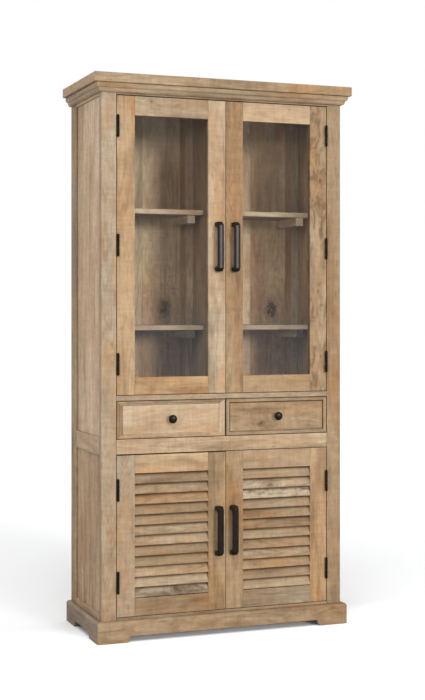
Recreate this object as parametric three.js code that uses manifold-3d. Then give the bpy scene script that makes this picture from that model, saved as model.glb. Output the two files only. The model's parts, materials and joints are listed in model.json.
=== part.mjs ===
// Pantry cabinet: a glazed upper cupboard, two drawers side by side and a louvred lower cupboard,
// in solid wood with black pulls, knobs and butt hinges.
// Millimetres. +X is the cabinet's right seen from the front, +Y points to its back, +Z is up.
// The origin is at floor level, in the middle of the cornice's footprint.

import * as THREE from 'three';
import { mergeVertices } from 'three/addons/utils/BufferGeometryUtils.js';
import Module from 'manifold-3d';

const wasm = await Module();
wasm.setup();

// ---------------------------------------------------------------- driving dimensions

const overall = { width: 995, depth: 435, height: 2000 };
const carcass = { width: 928, depth: 403 };
const fit = 0.3; // gap between pieces that touch
const board = 18; // thickness of floors, partition and side panels

const topBoardThickness = 33.5;
const crown = { bottom: 1934, quirk: 1947, fillet: 1960.5, lower: 13.5, upper: 22.5, base: 3 };
const plinth = { height: 76, overhang: 18.5, edgeRadius: 10, foot: 112, cutHeight: 22, cutSlant: 10 };

const frontPost = { width: 55, depth: 27 };
const rearPost = { width: 52, depth: 73 };
const railThickness = 24; // of the rails and posts that frame the side panels
const sidePanelRecess = 6;
const sideRails = { bottom: [40, 98], middle: [658, 720], top: [1925, 1966.2] };
const backPanel = { front: 388, thickness: 12, bottom: 45, boards: 11 };

const faceLevels = { bottom: [45, 84.5], drawer: [660, 712.5], waist: [848.5, 867], top: [1928.5, 1966.2] };
const meetingX = 4.5; // the left doors and drawer are a little wider than the right ones
const meetingGap = 3;
const drawerGap = 7;
const edgeGap = { side: 2.5, level: 2 };

const door = { thickness: 22, stile: 66 };
const upperDoor = { bottomRail: 62, topRail: 69, hingeInset: 109 };
const lowerDoor = { bottomRail: 62.5, topRail: 67, hingeInset: 123 };
const glass = { thickness: 4, setBack: 10, tongue: 8 };
const slat = { count: 12, width: 38, thickness: 7, tilt: 24 };
const louvreStrip = { width: 8, setBack: 6, depth: 10 };

const hinge = { radius: 6, length: 80, tip: 1.5, insideOpening: 5, proud: 6.5, leafDepth: 20, leaf: [406.8, 408.2] };
const pull = { length: 180, width: 24, projection: 30, bar: 5, bend: 10 };
const pullInset = { upper_left: 28.5, upper_right: 32.5, lower_left: 28.5, lower_right: 26 };
const knob = { radius: 15.5, neck: 5.5, base: 9, projection: 25 };

const drawer = { frontThickness: 20, border: 17, recess: 5, wall: 12, floor: 8, length: 325, height: 102 };
const drawerClearance = { side: 2.5, under: 1.5 };
const drawerGuide = { height: 18, sink: 2 };

const shelf = { thickness: 18.5, front: 190, sideGap: 12, partitionGap: 5, levels: { low: 1094.5, high: 1525 } };
const bearer = { size: 30, front: 217, bond: 1 };
const partitionPost = { halfWidth: 38.5, front: 325 };
const cupboardShelf = { bottom: 360, front: 60, sideGap: 5 };

// ---------------------------------------------------------------- derived levels

const half = { cornice: overall.width / 2, carcass: carcass.width / 2 };
const yRear = overall.depth / 2;
const yFront = yRear - carcass.depth;
const topBoardBottom = overall.height - topBoardThickness;
const openingHalf = half.carcass - frontPost.width;
const innerHalf = half.carcass - sidePanelRecess - board;
const rearInnerHalf = half.carcass - rearPost.width;
const postTop = topBoardBottom - fit;
const partition = [meetingX - board / 2, meetingX + board / 2];

const fromFront = (near, far) => [yFront + near, yFront + far];
const mirrored = ([low, high]) => [-high, -low];
const grown = ([low, high], by) => [low - by, high + by];

// ---------------------------------------------------------------- solids

function block([x0, x1], [y0, y1], [z0, z1]) {
  const geometry = new THREE.BoxGeometry(x1 - x0, y1 - y0, z1 - z0);
  return geometry.translate((x0 + x1) / 2, (y0 + y1) / 2, (z0 + z1) / 2);
}

function shapeOf(points) {
  return new THREE.Shape(points.map(([a, b]) => new THREE.Vector2(a, b)));
}

function extruded(points, length) {
  return new THREE.ExtrudeGeometry(shapeOf(points), { depth: length, bevelEnabled: false });
}

// A (y, z) section swept along X.
function alongX(points, [x0, x1]) {
  const turn = new THREE.Matrix4().makeBasis(
    new THREE.Vector3(0, 1, 0),
    new THREE.Vector3(0, 0, 1),
    new THREE.Vector3(1, 0, 0),
  );
  return extruded(points, x1 - x0).applyMatrix4(turn).translate(x0, 0, 0);
}

// An (x, z) section swept along Y.
function alongY(points, [y0, y1]) {
  return extruded(points, y1 - y0).rotateX(Math.PI / 2).translate(0, y1, 0);
}

// An (x, y) outline swept along Z.
function alongZ(points, [z0, z1]) {
  return extruded(points, z1 - z0).translate(0, 0, z0);
}

function toSolid(geometry) {
  const bare = geometry.clone();
  bare.deleteAttribute('normal');
  bare.deleteAttribute('uv');
  const merged = mergeVertices(bare, 1e-4);
  return new wasm.Manifold(new wasm.Mesh({
    numProp: 3,
    vertProperties: new Float32Array(merged.attributes.position.array),
    triVerts: new Uint32Array(merged.index.array),
  }));
}

function toGeometry(solid) {
  const mesh = solid.getMesh();
  const geometry = new THREE.BufferGeometry();
  geometry.setAttribute('position', new THREE.BufferAttribute(mesh.vertProperties, 3));
  geometry.setIndex(new THREE.BufferAttribute(mesh.triVerts, 1));
  geometry.computeVertexNormals();
  return geometry;
}

function joined(...geometries) {
  return toGeometry(geometries.map(toSolid).reduce((a, b) => a.add(b)));
}

function cut(geometry, ...tools) {
  return toGeometry(tools.map(toSolid).reduce((a, b) => a.subtract(b), toSolid(geometry)));
}

// A moulding mitred round the front and both sides: profile is a list of [offset, z], bottom to top.
function wrapped(profile) {
  const right = profile.map(([offset, z]) => [half.carcass + offset, z]);
  const left = profile.map(([offset, z]) => [-half.carcass - offset, z]).reverse();
  const front = profile.map(([offset, z]) => [yFront - offset, z]).reverse();
  const levels = profile.map(([, z]) => z);
  const [low, high] = [Math.min(...levels), Math.max(...levels)];
  const acrossWidth = toSolid(alongY([...right, ...left], [-overall.depth, yRear]));
  const acrossDepth = toSolid(alongX([...front, [yRear, low], [yRear, high]], [-overall.width, overall.width]));
  const core = block(
    [-half.carcass - fit, half.carcass + fit],
    [yFront - fit, overall.depth],
    [low - 1, high + 1],
  );
  return toGeometry(acrossWidth.intersect(acrossDepth).subtract(toSolid(core)));
}

// A quarter circle of points about (cx, cz), from one angle to the next, in degrees.
function arc(cx, cz, radius, from, to, steps = 5) {
  return Array.from({ length: steps + 1 }, (_, i) => {
    const angle = THREE.MathUtils.degToRad(from + ((to - from) * i) / steps);
    return [cx + radius * Math.cos(angle), cz + radius * Math.sin(angle)];
  });
}

// ---------------------------------------------------------------- materials

const finish = (color, roughness, metalness = 0) => () => new THREE.MeshStandardMaterial({
  color,
  roughness,
  metalness,
});
const frontWood = finish(0xc0a07a, 0.62);
const sideWood = finish(0xa38a6c, 0.66);
const innerWood = finish(0x94806a, 0.7);
const blackMetal = finish(0x1c1a18, 0.42, 0.7);
const clearGlass = () => new THREE.MeshStandardMaterial({
  color: 0xdfe8e6,
  roughness: 0.05,
  transparent: true,
  opacity: 0.25,
});

const cabinet = new THREE.Group();

function add(name, geometry, material) {
  const mesh = new THREE.Mesh(geometry, material());
  mesh.name = name;
  cabinet.add(mesh);
  return mesh;
}

// ---------------------------------------------------------------- top and bottom mouldings

function buildMouldings() {
  add('top_board', block([-half.cornice, half.cornice], [-yRear, yRear], [topBoardBottom, overall.height]), frontWood);

  const lowerHeight = crown.quirk - crown.bottom;
  const upperHeight = crown.fillet - crown.quirk;
  const lowerBead = arc(crown.base, crown.quirk, 1, -90, 0).map(([x, z]) => [
    crown.base + (x - crown.base) * (crown.lower - crown.base),
    crown.quirk + (z - crown.quirk) * lowerHeight,
  ]);
  const upperOvolo = arc(crown.lower, crown.fillet, 1, -90, 0).map(([x, z]) => [
    crown.lower + (x - crown.lower) * (crown.upper - crown.lower),
    crown.fillet + (z - crown.fillet) * upperHeight * 0.9,
  ]);
  const profile = [[0, crown.bottom], ...lowerBead, ...upperOvolo];
  profile.push([crown.upper, topBoardBottom - fit], [0, topBoardBottom - fit]);
  add('crown_moulding', wrapped(profile), frontWood);

  const { height, overhang, edgeRadius } = plinth;
  const edge = arc(overhang - edgeRadius, height - edgeRadius, edgeRadius, 0, 90);
  const skirt = wrapped([[0, 0], [overhang, 0], ...edge, [0, height]]);
  add('plinth_skirt', cut(skirt, ...footCuts()), frontWood);
}

// The openings between the feet: one across the front, one through both sides.
function footCuts() {
  const { foot, cutHeight, cutSlant, overhang } = plinth;
  const trapezium = (low, high) => [
    [low, -1],
    [high, -1],
    [high, 1],
    [high - cutSlant, cutHeight],
    [low + cutSlant, cutHeight],
    [low, 1],
  ];
  const reach = half.carcass + overhang - foot;
  const front = alongY(trapezium(-reach, reach), [-overall.depth, yFront + 5]);
  const [sideLow, sideHigh] = [yFront - overhang + foot, yRear - foot];
  const side = alongX(trapezium(sideLow, sideHigh), [-overall.width, overall.width]);
  return [front, side];
}

// ---------------------------------------------------------------- side frames

// A panel of vertical boards with a V joint between each pair on both faces; the outline is in plan.
function boardedPanel(across, through, levels, boards, swap) {
  const [a0, a1] = across;
  const [t0, t1] = through;
  const pitch = (a1 - a0) / boards;
  const vee = 2.2;
  const near = [[a0, t0]];
  const far = [[a1, t1]];
  for (let i = 1; i < boards; i += 1) {
    const joint = a0 + pitch * i;
    near.push([joint - vee, t0], [joint, t0 + vee], [joint + vee, t0]);
    const back = a1 - pitch * i;
    far.push([back + vee, t1], [back, t1 - vee], [back - vee, t1]);
  }
  near.push([a1, t0]);
  far.push([a0, t1]);
  const outline = [...near, ...far].map(([a, t]) => (swap ? [t, a] : [a, t]));
  return alongZ(swap ? outline.reverse() : outline, levels);
}

function buildSide(side) {
  const flip = side === 'left' ? mirrored : (span) => span;
  const outer = half.carcass;
  const frontDepth = fromFront(0, frontPost.depth);
  const rearDepth = [yRear - rearPost.depth, yRear];
  const between = [frontDepth[1] + fit, rearDepth[0] - fit];
  const frameX = flip([outer - railThickness, outer]);
  add(`front_${side}_post`, block(flip([outer - frontPost.width, outer]), frontDepth, [0, postTop]), frontWood);
  add(`rear_${side}_post`, block(flip([outer - rearPost.width, outer]), rearDepth, [0, postTop]), sideWood);
  for (const [level, span] of Object.entries(sideRails)) {
    add(`${side}_${level}_side_rail`, block(frameX, between, span), sideWood);
  }
  const panelX = flip([innerHalf, innerHalf + board]);
  const panels = {
    upper: [sideRails.middle[1] + fit, sideRails.top[0] - fit],
    lower: [sideRails.bottom[1] + fit, sideRails.middle[0] - fit],
  };
  for (const [level, span] of Object.entries(panels)) {
    add(`${level}_${side}_side_panel`, boardedPanel(between, panelX, span, 4, true), sideWood);
  }
}

// ---------------------------------------------------------------- face rails, back and inner boards

function buildFace() {
  const across = [-openingHalf + fit, openingHalf - fit];
  for (const [level, span] of Object.entries(faceLevels)) {
    add(`${level}_face_rail`, block(across, fromFront(0, frontPost.depth), span), frontWood);
  }
}

// A level board that fits round the rear posts.
function floorBoard(levels) {
  const [near, far] = fromFront(frontPost.depth + fit, backPanel.front - fit);
  const wide = innerHalf - fit;
  const narrow = rearInnerHalf - fit;
  const step = yRear - rearPost.depth - fit;
  const outline = [[-wide, near], [wide, near], [wide, step], [narrow, step]];
  outline.push([narrow, far], [-narrow, far], [-narrow, step], [-wide, step]);
  return alongZ(outline, levels);
}

function buildInside() {
  const back = fromFront(backPanel.front, backPanel.front + backPanel.thickness);
  const backX = [-rearInnerHalf + fit, rearInnerHalf - fit];
  add('back_panel', boardedPanel(backX, back, [backPanel.bottom, postTop], backPanel.boards, false), innerWood);

  const upperFloor = [faceLevels.waist[1] - board, faceLevels.waist[1]];
  const drawerFloor = [faceLevels.drawer[1] - board, faceLevels.drawer[1]];
  const bottomFloor = [faceLevels.bottom[1] - board, faceLevels.bottom[1]];
  add('upper_floor', floorBoard(upperFloor), innerWood);
  add('bottom_board', floorBoard(bottomFloor), innerWood);

  const guideY = fromFront(frontPost.depth + fit, carcass.depth - rearPost.depth - 2 * fit);
  const guideZ = [drawerFloor[1] - drawerGuide.sink, drawerFloor[1] + drawerGuide.height];
  const guideX = [openingHalf + fit, innerHalf - fit];
  const guides = [guideX, mirrored(guideX)].map((span) => block(span, guideY, guideZ));
  add('drawer_floor', joined(floorBoard(drawerFloor), ...guides), innerWood);

  const behindFace = fromFront(frontPost.depth + fit, backPanel.front - fit);
  add('drawer_divider', block(partition, behindFace, [drawerFloor[1] + fit, upperFloor[0] - fit]), innerWood);

  const fullHeight = [upperFloor[1] + fit, postTop];
  const wall = block(partition, behindFace, fullHeight);
  const stile = block(
    [meetingX - partitionPost.halfWidth, meetingX + partitionPost.halfWidth],
    fromFront(partitionPost.front, backPanel.front - fit),
    fullHeight,
  );
  add('upper_partition', joined(wall, stile), innerWood);
}

// ---------------------------------------------------------------- shelves on their bearers

// A shelf with notched rear corners, glued to a bearer along each side.
function shelfOnBearers(span, front, bottom, notches, bearerSpans) {
  const [x0, x1] = span;
  const [near, far] = fromFront(front, backPanel.front - fit);
  const outline = [[x0, near], [x1, near], [x1, notches.right.y], [notches.right.x, notches.right.y]];
  outline.push([notches.right.x, far], [notches.left.x, far], [notches.left.x, notches.left.y], [x0, notches.left.y]);
  const top = alongZ(outline, [bottom, bottom + shelf.thickness]);
  const bearerY = fromFront(bearer.front, backPanel.front - fit);
  const bearerZ = [bottom - bearer.size, bottom + bearer.bond];
  return joined(top, ...bearerSpans.map((across) => block(across, bearerY, bearerZ)));
}

function buildShelves() {
  const rearNotch = yRear - rearPost.depth - fit;
  const postNotch = yFront + partitionPost.front - fit;
  const bays = {
    left: {
      span: [-innerHalf + shelf.sideGap, partition[0] - shelf.partitionGap],
      notches: {
        left: { x: -rearInnerHalf + fit, y: rearNotch },
        right: { x: meetingX - partitionPost.halfWidth - fit, y: postNotch },
      },
    },
    right: {
      span: [partition[1] + shelf.partitionGap, innerHalf - shelf.sideGap],
      notches: {
        left: { x: meetingX + partitionPost.halfWidth + fit, y: postNotch },
        right: { x: rearInnerHalf - fit, y: rearNotch },
      },
    },
  };
  for (const [level, bottom] of Object.entries(shelf.levels)) {
    for (const [side, { span, notches }] of Object.entries(bays)) {
      const { left, right } = notches;
      const bearers = [[left.x, left.x + bearer.size], [right.x - bearer.size, right.x]];
      add(`${level}_${side}_shelf`, shelfOnBearers(span, shelf.front, bottom, notches, bearers), innerWood);
    }
  }
  const reach = innerHalf - cupboardShelf.sideGap;
  const corner = rearInnerHalf - fit;
  const notches = { left: { x: -corner, y: rearNotch }, right: { x: corner, y: rearNotch } };
  const bearers = [[corner - bearer.size, corner], [-corner, -corner + bearer.size]];
  const { front, bottom } = cupboardShelf;
  add('cupboard_shelf', shelfOnBearers([-reach, reach], front, bottom, notches, bearers), innerWood);
}

// ---------------------------------------------------------------- doors

function hingeSolid(side, x, z) {
  const { radius, length, tip } = hinge;
  const profile = [
    [0, -length / 2],
    [radius - tip, -length / 2],
    [radius, -length / 2 + tip],
    [radius, length / 2 - tip],
    [radius - tip, length / 2],
    [0, length / 2],
  ].map(([r, h]) => new THREE.Vector2(r, h));
  const barrel = new THREE.LatheGeometry(profile, 14).rotateX(Math.PI / 2).translate(x, yFront - hinge.proud, z);
  const leafX = side === 'left' ? mirrored(hinge.leaf) : hinge.leaf;
  const leaf = block(leafX, fromFront(-hinge.proud, hinge.leafDepth), [z - length / 2 + tip, z + length / 2 - tip]);
  return joined(barrel, leaf);
}

// A flat bar bent back to the door at both ends, with a 45 degree bend at each corner.
function pullSolid(x, z) {
  const { length, width, projection, bar, bend } = pull;
  const end = length / 2;
  const slope = bar * (Math.SQRT2 - 1);
  const outer = [[0, end], [projection - bend, end], [projection, end - bend]];
  const inner = [[0, end - bar], [projection - bend - slope, end - bar], [projection - bar, end - bend - slope]];
  const below = (points) => points.map(([y, h]) => [y, -h]).reverse();
  const outline = [...outer, ...below(outer), ...below(inner).reverse(), ...inner.reverse()];
  const section = outline.map(([out, h]) => [yFront - fit - out, z + h]).reverse();
  return alongX(section, [x - width / 2, x + width / 2]);
}

// Overlapping slats whose lower edges come forward, held at both ends by strips let into the stiles.
function louvreSolid(span, levels) {
  const tilt = THREE.MathUtils.degToRad(slat.tilt);
  const rise = slat.width * Math.cos(tilt) + slat.thickness * Math.sin(tilt);
  const middle = yFront + door.thickness / 2;
  const [bottom, top] = grown(levels, -2 * fit);
  const pitch = (top - bottom - rise) / (slat.count - 1);
  const slats = Array.from({ length: slat.count }, (_, i) => {
    const blade = new THREE.BoxGeometry(span[1] - span[0] - 2 * fit, slat.thickness, slat.width);
    blade.rotateX(-tilt);
    return blade.translate((span[0] + span[1]) / 2, middle, bottom + rise / 2 + pitch * i);
  });
  const depth = fromFront(louvreStrip.setBack + fit, louvreStrip.setBack + louvreStrip.depth - fit);
  const strips = [
    [span[0] - louvreStrip.width + fit, span[0] + 2 * fit],
    [span[1] - 2 * fit, span[1] + louvreStrip.width - fit],
  ].map((across) => block(across, depth, grown(levels, -2 * fit)));
  return joined(...slats, ...strips);
}

function buildDoor(row, side, span, levels, sizes, hingeLevels) {
  const name = `${row}_${side}`;
  const openX = grown(span, -door.stile);
  const openZ = [levels[0] + sizes.bottomRail, levels[1] - sizes.topRail];
  const depth = fromFront(0, door.thickness);
  const slab = block(span, depth, levels);
  const window = block(openX, grown(depth, 1), openZ);
  if (row === 'upper') {
    const paneY = fromFront(glass.setBack, glass.setBack + glass.thickness);
    const groove = block(grown(openX, glass.tongue), grown(paneY, fit), grown(openZ, glass.tongue));
    add(`${name}_door_frame`, cut(slab, window, groove), frontWood);
    const pane = block(grown(openX, glass.tongue - fit), paneY, grown(openZ, glass.tongue - fit));
    add(`${name}_glass`, pane, clearGlass);
  } else {
    const slotY = fromFront(louvreStrip.setBack, louvreStrip.setBack + louvreStrip.depth);
    const slots = block(grown(openX, louvreStrip.width), slotY, openZ);
    add(`${name}_door_frame`, cut(slab, window, slots), frontWood);
    add(`${name}_louvre`, louvreSolid(openX, openZ), frontWood);
  }
  const outward = side === 'left' ? -1 : 1;
  const hingeX = outward * (openingHalf - hinge.insideOpening);
  for (const [place, z] of Object.entries(hingeLevels)) {
    add(`${name}_hinge_${place}`, hingeSolid(side, hingeX, z), blackMetal);
  }
  const meetingEdge = side === 'left' ? span[1] : span[0];
  const pullX = meetingEdge + outward * pullInset[name];
  add(`${name}_pull`, pullSolid(pullX, (levels[0] + levels[1]) / 2), blackMetal);
}

function buildDoors() {
  const spans = {
    left: [-openingHalf + edgeGap.side, meetingX - meetingGap / 2],
    right: [meetingX + meetingGap / 2, openingHalf - edgeGap.side],
  };
  const upper = grown([faceLevels.waist[1], faceLevels.top[0]], -edgeGap.level);
  const lower = grown([faceLevels.bottom[1], faceLevels.drawer[0]], -edgeGap.level);
  for (const [side, span] of Object.entries(spans)) {
    const { hingeInset } = upperDoor;
    const upperHinges = { top: upper[1] - hingeInset, middle: (upper[0] + upper[1]) / 2, bottom: upper[0] + hingeInset };
    const lowerHinges = { top: lower[1] - lowerDoor.hingeInset, bottom: lower[0] + lowerDoor.hingeInset };
    buildDoor('upper', side, span, upper, upperDoor, upperHinges);
    buildDoor('lower', side, span, lower, lowerDoor, lowerHinges);
  }
}

// ---------------------------------------------------------------- drawers

function knobSolid(x, y, z) {
  const { radius, neck, base, projection } = knob;
  const crownArc = arc(radius - 6, projection - 5.5, 5.5, -60, 75, 5);
  const profile = [
    [0, 0],
    [base, 0],
    [base - 1, 2.5],
    [neck, 5],
    [neck, projection - 12],
    ...crownArc,
    [0, projection],
  ].map(([r, out]) => new THREE.Vector2(r, out));
  return new THREE.LatheGeometry(profile, 24).rotateX(Math.PI).translate(x, y, z);
}

function buildDrawer(side, span, boxSpan) {
  const levels = grown(faceLevels.drawer.slice(1).concat(faceLevels.waist[0]), -edgeGap.level);
  const slab = block(span, fromFront(0, drawer.frontThickness), levels);
  const field = block(
    grown(span, -drawer.border),
    fromFront(-1, drawer.recess),
    grown(levels, -drawer.border),
  );
  add(`${side}_drawer_front`, cut(slab, field), frontWood);

  const outerX = grown(boxSpan, -drawerClearance.side);
  const outerY = fromFront(drawer.frontThickness + fit, drawer.frontThickness + drawer.length);
  const bottom = faceLevels.drawer[1] + drawerClearance.under;
  const shell = block(outerX, outerY, [bottom, bottom + drawer.height]);
  const inside = block(
    grown(outerX, -drawer.wall),
    grown(outerY, -drawer.wall),
    [bottom + drawer.floor, bottom + drawer.height + 1],
  );
  add(`${side}_drawer_box`, cut(shell, inside), innerWood);

  const knobY = yFront + drawer.recess - fit;
  add(`${side}_drawer_knob`, knobSolid((span[0] + span[1]) / 2, knobY, (levels[0] + levels[1]) / 2), blackMetal);
}

// ---------------------------------------------------------------- assembly

buildMouldings();
buildSide('left');
buildSide('right');
buildFace();
buildInside();
buildShelves();
buildDoors();
buildDrawer('left', [-openingHalf + edgeGap.side, meetingX - drawerGap / 2], [-openingHalf, partition[0]]);
buildDrawer('right', [meetingX + drawerGap / 2, openingHalf - edgeGap.side], [partition[1], openingHalf]);

export default cabinet;
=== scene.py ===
"""A pantry cabinet in light mango wood, with black ironwork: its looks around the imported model."""

import json
import math
import random

import bmesh
import bpy
from mathutils import Matrix, Vector

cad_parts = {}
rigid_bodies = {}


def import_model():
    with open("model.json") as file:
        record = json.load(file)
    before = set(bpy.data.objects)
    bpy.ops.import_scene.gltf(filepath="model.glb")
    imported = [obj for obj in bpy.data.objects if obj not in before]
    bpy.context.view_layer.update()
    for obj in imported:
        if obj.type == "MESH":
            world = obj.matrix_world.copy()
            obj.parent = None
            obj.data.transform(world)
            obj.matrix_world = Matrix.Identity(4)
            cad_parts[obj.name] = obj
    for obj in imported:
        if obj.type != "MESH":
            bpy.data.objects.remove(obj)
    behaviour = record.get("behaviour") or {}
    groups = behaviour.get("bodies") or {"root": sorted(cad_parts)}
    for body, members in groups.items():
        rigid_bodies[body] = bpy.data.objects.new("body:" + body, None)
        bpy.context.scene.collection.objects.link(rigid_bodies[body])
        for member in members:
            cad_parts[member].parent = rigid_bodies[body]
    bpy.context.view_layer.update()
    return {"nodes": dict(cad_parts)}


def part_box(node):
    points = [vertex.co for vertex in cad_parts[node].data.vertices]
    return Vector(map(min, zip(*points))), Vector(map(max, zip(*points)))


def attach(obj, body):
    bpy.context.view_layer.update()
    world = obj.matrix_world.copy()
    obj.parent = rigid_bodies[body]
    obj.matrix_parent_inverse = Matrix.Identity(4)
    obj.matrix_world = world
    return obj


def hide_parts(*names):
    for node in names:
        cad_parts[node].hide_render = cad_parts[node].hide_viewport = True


for leftover in list(bpy.data.objects):
    bpy.data.objects.remove(leftover)

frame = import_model()

MM = 0.001
X, Y, Z = Vector((1, 0, 0)), Vector((0, 1, 0)), Vector((0, 0, 1))
SIDES = ("left", "right")
LEVELS = ("upper", "lower")
# The planes of the carcass's front and of the back panel's inner face.
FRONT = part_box("upper_left_door_frame")[0].y
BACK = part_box("back_panel")[0].y

# The camera stands in front of the cabinet, on its left, and looks level and to the right.
CAMERA_PLACE = (-1.8331, -4.8644, 1.1643)
CAMERA_TURN = -20.891
CAMERA_LENS, CAMERA_SENSOR = 71.35, 36
CAMERA_SHIFT = -0.0552

camera_data = bpy.data.cameras.new("camera")
camera_data.lens = CAMERA_LENS
camera_data.sensor_width = CAMERA_SENSOR
camera_data.shift_y = CAMERA_SHIFT
camera = bpy.data.objects.new("camera", camera_data)
camera.location = CAMERA_PLACE
camera.rotation_euler = (math.radians(90), 0, math.radians(CAMERA_TURN))
bpy.context.collection.objects.link(camera)
bpy.context.scene.camera = camera


# ---------------------------------------------------------------- materials
class Nodes:
    """Short ways to add nodes to one node tree."""

    def __init__(self, tree):
        self.tree = tree
        tree.nodes.clear()

    def new(self, kind, inputs=None, **settings):
        """A node with its settings; inputs are values or sockets, by name or number."""
        node = self.tree.nodes.new(kind)
        for key, value in settings.items():
            setattr(node, key, value)
        for key, value in (inputs or {}).items():
            self.feed(node.inputs[key], value)
        return node

    def feed(self, socket, value):
        if isinstance(value, bpy.types.NodeSocket):
            self.tree.links.new(value, socket)
        else:
            socket.default_value = value

    def math(self, operation, *values):
        node = self.new("ShaderNodeMath", operation=operation)
        for i, value in enumerate(values):
            self.feed(node.inputs[i], value)
        return node.outputs[0]

    def vector(self, operation, *values, output="Vector"):
        node = self.new("ShaderNodeVectorMath", operation=operation)
        for i, value in enumerate(values):
            name = "Scale" if operation == "SCALE" and i == 1 else i
            self.feed(node.inputs[name], value)
        return node.outputs[output]

    def noise(self, vector, scale, detail=2.0, roughness=0.5, distortion=0.0):
        node = self.new("ShaderNodeTexNoise", {"Vector": vector, "Scale": scale, "Detail": detail})
        node.inputs["Roughness"].default_value = roughness
        node.inputs["Distortion"].default_value = distortion
        return node.outputs["Fac"]

    def spread(self, value, low, high, to_low=0.0, to_high=1.0):
        node = self.new("ShaderNodeMapRange", interpolation_type="SMOOTHSTEP")
        for i, number in enumerate((value, low, high, to_low, to_high)):
            self.feed(node.inputs[i], number)
        return node.outputs[0]

    def mix(self, factor, one, two):
        node = self.new("ShaderNodeMix", data_type="RGBA")
        self.feed(node.inputs["Factor"], factor)
        self.feed(node.inputs[6], one)
        self.feed(node.inputs[7], two)
        return node.outputs[2]

    def attribute(self, name, output="Vector"):
        return self.new("ShaderNodeAttribute", attribute_name=name).outputs[output]

    def surface(self, shader):
        """Makes the shader the material's surface."""
        self.new("ShaderNodeOutputMaterial", {"Surface": shader.outputs[0]})


def linear(red, green, blue):
    """An sRGB colour, 0 to 255, as a linear colour."""
    parts = [v / 255 for v in (red, green, blue)]
    return tuple(v / 12.92 if v <= 0.04045 else ((v + 0.055) / 1.055) ** 2.4 for v in parts) + (1.0,)


def blank(name):
    """A new material and its empty node tree."""
    material = bpy.data.materials.new(name)
    material.use_nodes = True
    return material, Nodes(material.node_tree)


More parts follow.
